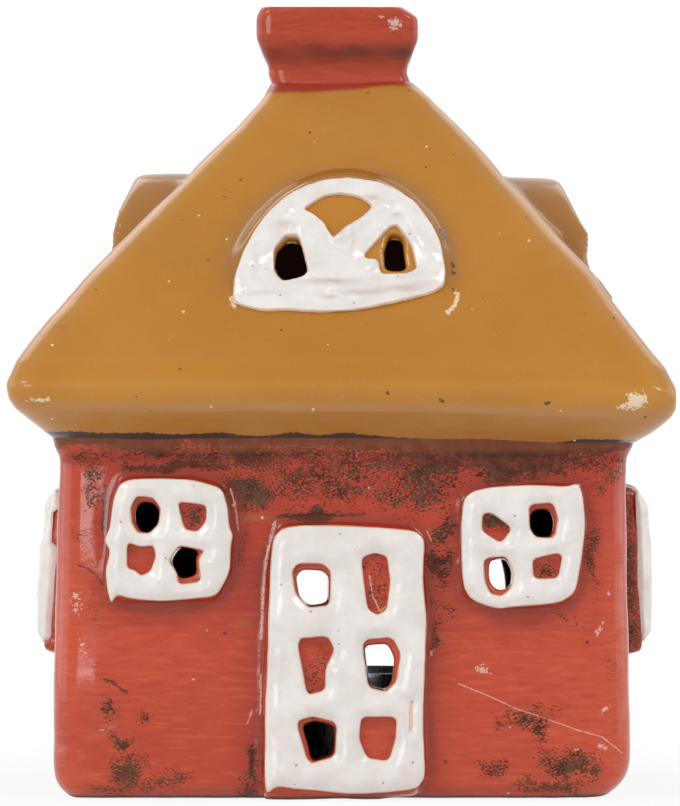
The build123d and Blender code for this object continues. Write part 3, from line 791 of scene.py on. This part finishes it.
def paint_roof(points, outward):
    x, y, z = points.T
    across = np.maximum(abs(x), abs(y) + 3)
    room = room_half - np.maximum(z - room_knee, 0) * room_slope
    inside = (across < np.maximum(room, flue_half)) & (outward[:, 2] < 0.5)
    neck_line = roof_top - 1.5 + 0.05 * x - 0.35 * noise(points, 7, 41)
    dip = step(0, 12, x) * step(39, 34, x)
    ripple = 0.5 * noise(points, 11, 44) + 0.4 * noise(points, 4, 45)
    brown_line = wall_top + 1.3 - 1.1 * dip + ripple
    fold = 65.3 + 0.4 * noise(points, 15, 46)
    high = step(dormer_base + 0.5, dormer_base + 5, z)
    rim = np.zeros(len(points))
    for along, out in ((x, -y - 3), (-y, -x), (y, x)):
        reach = dormer_reach(along, z)
        edge = step(1.12, 1, reach) * step(0.85, 0.92, reach)
        rim = np.maximum(rim, (out > 20) * high * edge)
    return {
        "inside": inside,
        "neck": step(-0.25, 0.25, z - neck_line),
        "brown": 2 * step(0.5, -0.5, z - brown_line),
        "under_eave": step(0.8, -0.8, z - fold),
        "rim": rim,
        "wear_and_glints": np.where(y < -30, patches(x, z, worn_and_highlight_places), 0),
        "dotted": np.where(y < 0, patches(x, z, dotted_places), 0),
    }


def shape_roof(points, edges):
    """Blends the dormers into the slopes, and lets the side ones' faces swell at the rim."""
    x, y, z = points.T
    lift = z - dormer_base
    weight = np.zeros(len(points))
    for along, out in ((x, -y + 3), (-y, -x), (y, x)):
        ring = np.exp(-((dormer_reach(along, z) - 1.04) / 0.09) ** 2) * (lift > -2.5)
        foot = np.exp(-((lift - 0.5) / 2.2) ** 2) * (abs(along) < 19.5)
        weight = np.maximum(weight, np.maximum(ring, foot) * (out > 10))
    weight *= weight > 0.02
    for _ in range(60):
        points = points + weight[:, None] * 0.5 * (relaxed(points, edges, 1, 1) - points)
    x, y, z = points.T
    rise = np.maximum(z - dormer_base, 0)
    face = dormer_foot_out["left"] - rise * tan(dormer_lean)
    on_rim = step(0.915, 0.95, dormer_reach(y, z)) * step(0.2, 1.5, rise) * (abs(y) < 19.5)
    out = 1.1 * on_rim * step(face - 3.5, face - 0.8, abs(x))
    points[:, 0] += np.sign(x) * out
    return points


roof = show("house_roof", joined_mesh("house_roof", roof_nodes))
fused(roof, 0.5)
finish_clay(
    roof, rounds=4, bumps=((11, 0.18, 42), (3.4, 0.04, 43)), edge_rounds=24, edge_reach=0.25,
    paint=paint_roof, shape=shape_roof,
)
roof.data.materials.append(ochre)
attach(roof, "house")
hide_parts(*roof_nodes)

# The chimney

# Pale patches on the cap's right, in the measures of the wall's patches: partly worn glaze and
# partly painted glints
cap_glints = ((9.6, 129.3, 1.6, 1.3, 0.95), (7.6, 130.4, 1.2, 0.4, 0.8))
shade_height = 124.2


def paint_chimney(points, outward):
    """Painted shade under the cap, and pale patches on the cap's right, partly worn glaze and
    partly painted glints.
    """
    x, y, z = points.T
    inside = (abs(x) < 8) & (abs(y) < 5) & (outward[:, 2] < 0.6)
    nothing = np.zeros(len(points))
    uneven = 0.3 * noise(points * (1, 1, 2), 3.5, 53)
    shade = (0.5 + uneven) * np.exp(-((z - shade_height - uneven) / 1.5) ** 2)
    return {
        "inside": inside, "brown": nothing, "dark_foot_and_cap_shade": shade, "ochre": nothing,
        "wear_and_glints": patches(x, z, cap_glints) * (y < 0),
    }


def shape_chimney(points, edges):
    """Runs the chimney's foot down over the roof."""
    height = points[:, 2] - roof_top
    moved = points.copy()
    moved[:, 2] -= 1.6 * step(1.4, 0.2, height)
    moved[:, :2] *= 1 + 0.05 * step(1.6, -0.6, height)[:, None]
    return moved


chimney = show("chimney", joined_mesh("chimney", ["chimney_stack", "chimney_cap"]))
fused(chimney, 0.32)
finish_clay(
    chimney, rounds=10, bumps=((7, 0.14, 51), (2.5, 0.04, 52)), edge_rounds=24, edge_reach=0.2,
    paint=paint_chimney, shape=shape_chimney,
)
chimney.data.materials.append(chimney_red)
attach(chimney, "house")
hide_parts("chimney_stack", "chimney_cap")

# The white door, windows and lunettes

# Outlines in millimetres: across from the middle of the wall, and up from the ground
left_line = (
    (-34.9, 52.7), (-29.7, 52.9), (-24.4, 52.7), (-19.4, 51.2), (-18.4, 48), (-18.2, 44.9),
    (-17.6, 43.4), (-18, 41.5), (-18.1, 37.5), (-20, 33.8), (-21.5, 33.2), (-29.5, 32.4),
    (-34.4, 32.9), (-36.6, 33.6), (-37.6, 31.9), (-38.3, 34.9), (-38.5, 37.5), (-37.7, 40.9),
    (-38.8, 42.5), (-37.9, 44.7), (-37.3, 49.6), (-36.4, 51.9),
)
right_line = (
    (19.8, 49.3), (21.3, 50.7), (24.3, 51.5), (31.3, 51.9), (36.4, 51.6), (38.4, 52.2),
    (39.3, 50.3), (39.7, 45.2), (39.1, 39.5), (38, 34.2), (35.6, 32.4), (27.9, 31.8), (25.6, 31.5),
    (21.3, 32.8), (19.9, 35.2), (19.5, 44.5),
)
door_line = (
    (-9.6, 44.6), (-5.9, 45.1), (4.4, 44.9), (12, 44.2), (13.7, 42.7), (13.5, 37.7), (14.1, 29.8),
    (13.6, 19.9), (13.4, 11.6), (13.8, 3.9), (12.3, 1.7), (3.3, 0.9), (-6.7, 1.7), (-10.6, 2.3),
    (-12.1, 1), (-12.6, 3.7), (-12.3, 17), (-11.7, 30.3), (-11.5, 38.8), (-11, 42.9),
)
side_line = (
    (-9.3, 50.1), (-1, 50.8), (8.6, 50.4), (9.7, 48.6), (9.9, 41), (10, 34), (9.4, 27), (9.2, 25.2),
    (7.6, 24.3), (1, 24), (-8.8, 24.4), (-9.6, 26), (-9.8, 36), (-9.7, 44), (-9.9, 48.6),
)
# Lunette: across from the middle, and up from its foot, on the leaning face
lunette_line = (
    (-17.6, -0.4), (-16.4, -1.6), (-12.5, -2.6), (-9.2, -2.4), (-2.8, -3), (2.3, -2.7), (9, -1.2),
    (15, 0.3), (17.1, 1.8), (17.2, 4.6), (16.3, 9.2), (14.9, 12.5), (11.8, 16.9), (8.6, 19.2),
    (5, 20.7), (0.4, 21.3), (-3.4, 20.9), (-6.8, 19.7), (-9.9, 17.6), (-12.4, 15), (-14.6, 11.6),
    (-16.4, 7.6), (-17.3, 3.6),
)

# Panes, as shares of half the width and half the height
left_panes = (
    (
        (-0.49, 0.68), (-0.26, 0.66), (-0.15, 0.52), (-0.16, 0.28), (-0.3, 0.14), (-0.47, 0.16),
        (-0.55, 0.3), (-0.57, 0.52),
    ),
    ((0.19, 0.59), (0.38, 0.57), (0.58, 0.54), (0.58, 0.33), (0.46, 0.18), (0.29, 0.22)),
    (
        (-0.61, -0.06), (-0.42, -0.12), (-0.24, -0.1), (-0.2, -0.26), (-0.28, -0.46), (-0.4, -0.53),
        (-0.5, -0.44), (-0.6, -0.42),
    ),
    (
        (0.19, -0.1), (0.57, -0.17), (0.48, -0.31), (0.51, -0.62), (0.2, -0.66), (0.17, -0.5),
        (0.05, -0.33),
    ),
)
right_panes = (
    ((-0.63, 0.51), (-0.51, 0.52), (-0.22, 0.31), (-0.37, 0.11), (-0.63, 0.27)),
    ((0.11, 0.66), (0.45, 0.69), (0.53, 0.46), (0.48, 0.19), (0.2, 0.2), (0.12, 0.33)),
    (
        (-0.59, -0.23), (-0.28, -0.19), (-0.18, -0.4), (-0.21, -0.64), (-0.35, -0.76),
        (-0.5, -0.73), (-0.58, -0.56),
    ),
    ((0.17, -0.19), (0.6, -0.1), (0.54, -0.46), (0.19, -0.47)),
)
door_panes = (
    (
        (-0.55, 0.7), (-0.27, 0.7), (-0.18, 0.65), (-0.19, 0.42), (-0.43, 0.4), (-0.57, 0.5),
        (-0.61, 0.65),
    ),
    (
        (0.23, 0.74), (0.37, 0.77), (0.51, 0.75), (0.55, 0.58), (0.51, 0.39), (0.41, 0.35),
        (0.3, 0.39),
    ),
    ((-0.55, 0.15), (-0.2, 0.16), (-0.13, 0.07), (-0.22, -0.05), (-0.23, -0.21), (-0.44, -0.24)),
    ((0.25, 0.13), (0.57, 0.15), (0.66, 0.04), (0.62, -0.15), (0.5, -0.22), (0.3, -0.19)),
    ((-0.56, -0.46), (-0.38, -0.43), (-0.11, -0.47), (-0.13, -0.7), (-0.43, -0.75)),
    ((0.23, -0.43), (0.61, -0.43), (0.59, -0.59), (0.52, -0.73), (0.29, -0.71), (0.2, -0.58)),
)
door_slit = ((0.8, -0.33), (0.815, -0.34), (0.81, -0.48), (0.785, -0.5), (0.79, -0.4))
lunette_panes = (
    (
        (-0.54, 0.51), (-0.42, 0.5), (-0.36, 0.38), (-0.31, 0.19), (-0.4, 0.15), (-0.55, 0.12),
        (-0.63, 0.21), (-0.63, 0.4),
    ),
    (
        (0.49, 0.62), (0.66, 0.42), (0.72, 0.22), (0.62, 0.18), (0.38, 0.18), (0.36, 0.3),
        (0.2, 0.33),
    ),
    (
        (-0.39, 0.73), (-0.2, 0.84), (-0.05, 0.865), (0.13, 0.84), (0.265, 0.76), (0.17, 0.66),
        (0, 0.57), (-0.075, 0.46), (-0.19, 0.62), (-0.3, 0.69),
    ),
)

# Brown-grey smears on the front lunette, in the measures of the wall's patches
lunette_smears = (
    (-2.2, 85.4, 5, 0.6, 0.9), (4, 83.5, 4, 0.5, 0.8), (10, 84.1, 4, 0.55, 0.75),
    (-13, 83.4, 4, 0.6, 0.5), (-9.8, 94.6, 2.2, 0.7, 0.7), (4.7, 99.2, 1.8, 0.9, 0.75),
    (8.8, 96.4, 1.2, 0.6, 0.75), (-3.4, 92.8, 1.6, 1, 0.45), (1.7, 92.5, 0.8, 2, 0.5),
    (-2, 82.8, 1.6, 0.35, 1), (0, 88, 9, 1.2, 0.25), (-14, 88, 1.2, 3, 0.35),
)
# Ridges that the brush left on the lunette: two ends, half-width and height
lunette_ridges = (
    ((-0.6, 3), (-0.6, 8.5), 2.6, 0.3), ((-0.6, 10), (-5.5, 15.2), 1, 0.6),
    ((-0.6, 10), (6.2, 15.8), 1, 0.65), ((-5.2, 3.6), (-8, 12), 0.7, 0.5),
    ((-15, 1), (-2, 0.8), 1.1, 0.5), ((-1, 0.6), (14.5, 2.6), 1, 0.5),
    ((5, 5), (6.5, 11), 0.8, 0.45), ((-14, 6), (-9.5, 15), 1, 0.4), ((9.5, 16), (14.6, 7), 1, 0.4),
)

sink = 0.5
frame_height = 1.5
outline_cut, pane_cut = 0.17, 0.12
brush_reach = 1.2
sides = {
    "front": ((0, -1, 0), (1, 0, 0), -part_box("front_wall")[0].y / mm),
    "left": ((-1, 0, 0), (0, -1, 0), -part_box("left_wall")[0].x / mm),
    "right": ((1, 0, 0), (0, 1, 0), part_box("right_wall")[1].x / mm),
}


def rounded(line, cut):
    """A closed line with its corners cut twice, by a share of each stretch."""
    points = np.array(line, float)
    for _ in range(2):
        ahead = np.roll(points, -1, axis=0)
        ends = [points + cut * (ahead - points), ahead + cut * (points - ahead)]
        points = np.stack(ends, axis=1).reshape(-1, 2)
    return points


def outline_slab(name, lines, thickness, place):
    """A slab between closed lines: the first is its outline and the others are its holes."""
    curve = bpy.data.curves.new(name + "_line", "CURVE")
    curve.dimensions = "2D"
    curve.fill_mode = "BOTH"
    curve.extrude = thickness * mm / 2
    for line in lines:
        spline = curve.splines.new("POLY")
        spline.points.add(len(line) - 1)
        for point, (across, up) in zip(spline.points, line):
            point.co = (across * mm, up * mm, 0, 1)
        spline.use_cyclic_u = True
    holder = show(name, curve)
    mesh = evaluated_mesh(holder)
    bpy.data.objects.remove(holder)
    bpy.data.curves.remove(curve)
    build = bmesh.new()
    build.from_mesh(mesh)
    bmesh.ops.remove_doubles(build, verts=build.verts, dist=0.0005 * mm)
    bmesh.ops.recalc_face_normals(build, faces=build.faces)
    build.to_mesh(mesh)
    build.free()
    mesh.transform(Matrix.Translation((0, 0, thickness * mm / 2)))
    mesh.transform(place)
    return show(name, mesh)


def face_place(outward, right, origin, lean):
    """From across, up and out on a face, to the object's frame."""
    out = (Vector(outward) * cos(lean) + Vector((0, 0, sin(lean)))).normalized()
    across = Vector(right).normalized()
    turn = Matrix((across, out.cross(across), out)).transposed().to_4x4()
    return Matrix.Translation(origin) @ turn


def line_distance(points, lines):
    """How far each flat point lies from the nearest of some closed lines."""
    nearest = np.full(len(points), np.inf)
    for line in lines:
        for start, end in zip(line, np.roll(line, -1, axis=0)):
            along = end - start
            share = np.clip((points - start) @ along / max(along @ along, 1e-9), 0, 1)
            gap = np.linalg.norm(points - start - share[:, None] * along, axis=1)
            nearest = np.minimum(nearest, gap)
    return nearest


def as_is(points, edges):
    return points


def white_piece(name, side, lines, place, thickness, seed, shape=as_is, ridges=(), dome=0.6):
    """Domed glaze in a smooth outline, with its panes as holes."""
    cuts = [outline_cut] + [pane_cut] * (len(lines) - 1)
    lines = [rounded(line, cut) for line, cut in zip(lines, cuts)]
    piece = outline_slab(name, lines, thickness, place)
    fused(piece, 0.25)
    outward = np.array(place.to_3x3().col[2])
    back = np.array(place.inverted())
    rim = {}

    def puffed(points, edges):
        """The glaze stands up between the panes, and highest along the ridges."""
        local = points @ back[:3, :3].T + back[:3, 3] / mm
        flat, out = local[:, :2], local[:, 2] / thickness
        edge = line_distance(flat, lines)
        rim["value"] = step(0.34, 0.14, edge) * step(0.6, 0.85, out) * ("side" not in name)
        height = dome * (1 - np.exp(-(edge / brush_reach) ** 2))
        for start, end, half_width, rise in ridges:
            gap = line_distance(flat, [np.array([start, end], float)])
            height = height + rise * np.exp(-(gap / half_width) ** 2)
        height *= step(0.35, 0.9, out)
        return shape(points + outward * height[:, None], edges)

    def paint(points, faces):
        smear = np.full(len(points), 0.12)
        if name.endswith("_dormer_window"):
            across = points[:, 0] * (side == "front")
            smear = np.maximum(smear, patches(across, points[:, 2], lunette_smears))
        return {"rim": rim["value"], "smear": smear}

    finish_clay(
        piece, rounds=5, bumps=((5, 0.16, seed), (1.8, 0.05, seed + 1)), edge_rounds=14,
        edge_reach=0.16, paint=paint, shape=puffed,
    )
    piece.data.materials.append(white)
    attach(piece, "house")
    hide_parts(name)


def widened(pane, amount):
    """A pane drawn larger by an amount all round."""
    middle = pane.mean(axis=0)
    away = pane - middle
    return middle + away * (1 + amount / np.linalg.norm(away, axis=1).mean())


def wall_frame(name, side, outline, panes, offset, centre, width, height, seed):
    """A frame on its pad. Those at the sides follow their tables of heights."""
    outward, right, distance = sides[side]
    foot = (Vector(outward) * distance + Vector((0, 0, wall_foot))) * mm
    start = pad_height - sink
    thickness = frame_height + sink
    place = face_place(outward, right, foot, wall_lean)
    place = place @ Matrix.Translation((0, -wall_foot * mm, start * mm))

    def bulged(points, edges):
        x, y, z = points.T
        face = distance - (z - wall_foot) * wall_lean
        back = between(z, side_pad_out[side]) - sink
        top = between(z, side_window_out[side])
        top = top - 0.5 * (top - back) * step(6.5, 10.5, abs(y)) ** 2
        share = (abs(x) - face - start) / thickness
        moved = points.copy()
        moved[:, 0] = outward[0] * (face + back + share * (top - back))
        return moved

    middle, half = (offset, centre), (width / 2, height / 2)
    holes = [widened(middle + np.array(pane) * half, 0.3) for pane in panes]
    shape = as_is if side == "front" else bulged
    white_piece(name, side, [outline] + holes, place, thickness, seed, shape)


wall_frame("front_left_window", "front", left_line, left_panes, -28.4, 42.5, 20.8, 20.6, 61)
wall_frame("front_right_window", "front", right_line, right_panes, 29.6, 41.6, 20.2, 20.4, 63)
wall_frame("front_door", "front", door_line, (*door_panes, door_slit), 0.6, 22.9, 27, 44.4, 65)
wall_frame("left_side_window", "left", side_line, door_panes, 0, 36.85, 20, 27.9, 67)
wall_frame("right_side_window", "right", side_line, door_panes, 0, 36.85, 20, 27.9, 69)

lunette_margin = 1.3
lunette_thickness = 0.8
lunette_half = dormer_half - lunette_margin
lunette_rise = dormer_rise / cos(dormer_lean) - 2 * lunette_margin
lunette_foot = 83.4


def dormer_window(side, seed, proud, reach, ridges, dome):
    """A lunette that stands proud of its face, and whose foot reaches out over the slope."""
    outward, right, _ = sides[side]
    base = (Vector(outward) * dormer_foot_out[side] + Vector((0, 0, dormer_base))) * mm
    place = face_place(outward, right, base, dormer_lean)
    place = place @ Matrix.Translation((0, lunette_margin * mm, (proud - sink) * mm))

    def onto_slope(points, edges):
        below = np.maximum(lunette_foot - points[:, 2], 0)
        return points + np.array(outward) * (reach * below)[:, None]

    holes = [np.array(pane) * (lunette_half, lunette_rise) for pane in lunette_panes]
    white_piece(
        side + "_dormer_window", side, [lunette_line] + holes, place, lunette_thickness + sink,
        seed, onto_slope, ridges, dome,
    )


dormer_window("front", 71, proud=0, reach=0.42, ridges=lunette_ridges, dome=0.3)
dormer_window("left", 73, proud=-0.7, reach=0.2, ridges=(), dome=0.15)
dormer_window("right", 75, proud=-0.7, reach=0.2, ridges=(), dome=0.15)

# Tealight


def foil(s):
    scratches = s.noise(1.5, 4, 0.7, s.stretched(1, 1, 0.12))
    relief = s.bump(s.noise(0.8, 2, 0.5), 0.05, 0.5)
    relief = s.bump(scratches, 0.01, 0.5, relief)
    color = s.blend(s.ramp(scratches, 0.4, 0.7), (0.8, 0.8, 0.81), (0.7, 0.7, 0.71))
    rough = s.ramp(scratches, 0.3, 0.8, 0.22, 0.42)
    return s.set(Base_Color=color, Metallic=1, Roughness=rough, Normal=relief)


def wax(s):
    cloud = s.noise(0.15)
    color = s.blend(s.ramp(cloud), (0.8, 0.77, 0.68), (0.86, 0.84, 0.78))
    relief = s.bump(s.noise(0.25, 3, 0.5), 0.12, 0.6)
    return s.set(
        Base_Color=color, Roughness=s.ramp(cloud, 0.3, 0.7, 0.38, 0.5), Subsurface_Weight=0.35,
        Subsurface_Radius=(0.004, 0.003, 0.002), Normal=relief,
    )


def wick(s):
    strands = s.node("TexWave", {
        "Vector": s.stretched(1, 1, 0.6), "Scale": 900, "Distortion": 2, "Detail": 2,
    }, bands_direction="DIAGONAL").outputs["Fac"]
    color = s.blend(strands, (0.55, 0.51, 0.43), (0.78, 0.75, 0.67))
    rough = s.ramp(strands, 0, 1, 0.95, 0.8)
    return s.set(Base_Color=color, Roughness=rough, Normal=s.bump(strands, 0.08, 0.8))


def tin(s):
    brushed = s.noise(2, place=s.stretched(0.2, 1, 1))
    color = s.blend(brushed, (0.52, 0.52, 0.52), (0.66, 0.66, 0.66))
    rough = s.ramp(brushed, 0.3, 0.7, 0.25, 0.45)
    relief = s.bump(brushed, 0.01, 0.6)
    return s.set(Base_Color=color, Metallic=1, Roughness=rough, Normal=relief)


for node, name, surface in (
    ("tealight_cup", "thin_foil", foil),
    ("tealight_wax", "candle_wax", wax),
    ("tealight_wick", "cotton_wick", wick),
    ("wick_sustainer", "tinplate", tin),
):
    material = surface(Shader(name))
    if not nodes[node].material_slots:
        nodes[node].data.materials.append(material)
    for slot in nodes[node].material_slots:
        slot.material = material

# Floor, background, light and camera

floor_half = 30
floor_drop = 0.1
# How far from the middle, in metres, the floor's shadow has faded into the white
shadow_start, shadow_end = 0.055, 0.16
shadow_white = 0.88


def pale_floor():
    """A pale floor that takes the object's shadow and runs out into white."""
    material = bpy.data.materials.new("pale_floor")
    s = NodeTree(material, "OutputMaterial")
    plain = s.node("BsdfDiffuse", {"Color": (0.85, 0.85, 0.85)}).outputs[0]
    glow = s.node("Emission", {"Strength": 1}).outputs[0]
    place = s.node("TexCoord").outputs["Object"]
    away = s.node("VectorMath", {0: place}, operation="LENGTH").outputs["Value"]
    fade = s.node("MapRange", {
        "Value": away, "From Min": shadow_start, "From Max": shadow_end,
        "To Min": shadow_white, "To Max": 1,
    }).outputs["Result"]
    s.show(s.mix(s.seen(), plain, s.mix(fade, plain, glow)))
    return material


build = bmesh.new()
bmesh.ops.create_grid(build, x_segments=4, y_segments=4, size=floor_half)
floor_mesh = bpy.data.meshes.new("floor")
build.to_mesh(floor_mesh)
build.free()
floor_mesh.transform(Matrix.Translation((0, 0, -floor_drop * mm)))
floor = show("floor", floor_mesh)
floor.data.materials.append(pale_floor())

world = bpy.data.worlds.new("studio")
scene.world = world
sky = NodeTree(world, "OutputWorld")
ambient, backdrop = (
    sky.node("Background", {"Color": (1, 1, 1), "Strength": strength}).outputs[0]
    for strength in (0.45, 1)
)
sky.show(sky.mix(sky.seen(), ambient, backdrop))

lamp_aim = Vector((0, 0, 0.06))


def softbox(name, azimuth, elevation, distance, width, height, power):
    """A lamp that faces the object. Azimuth 0 is in front, and positive to the right."""
    lamp = bpy.data.lights.new(name, "AREA")
    lamp.shape = "RECTANGLE"
    lamp.size = width
    lamp.size_y = height
    lamp.energy = power
    holder = bpy.data.objects.new(name, lamp)
    a, e = radians(azimuth), radians(elevation)
    away = Vector((sin(a) * cos(e), -cos(a) * cos(e), sin(e)))
    holder.location = lamp_aim + distance * away
    holder.rotation_euler = (-away).to_track_quat("-Z", "Y").to_euler()
    scene.collection.objects.link(holder)


softbox("left_softbox", -46, 34, 1.1, 0.42, 0.3, 3)
softbox("right_softbox", 48, 36, 1.1, 0.42, 0.3, 3.1)
softbox("low_left_softbox", -24, 6.7, 1.2, 0.52, 0.24, 2.1)
softbox("side_left_softbox", -100, 12, 1.1, 0.9, 0.9, 2.7)
softbox("side_right_softbox", 100, 12, 1.1, 0.9, 0.9, 2.7)
softbox("back_left_softbox", -147, 42, 1.1, 0.7, 0.5, 1.8)
softbox("back_right_softbox", 147, 42, 1.1, 0.6, 0.5, 1)

# The camera stands far off on the object's middle, as the photo's long lens did
camera = bpy.data.cameras.new("camera")
camera.sensor_width = 36
camera.lens = 313.5
camera.clip_start = 0.01
holder = bpy.data.objects.new("camera", camera)
holder.location = (-0.00017, -1.2, 0.0652)
holder.rotation_euler = (radians(90), 0, 0)
scene.collection.objects.link(holder)
scene.camera = holder
scene.view_settings.view_transform = "Standard"
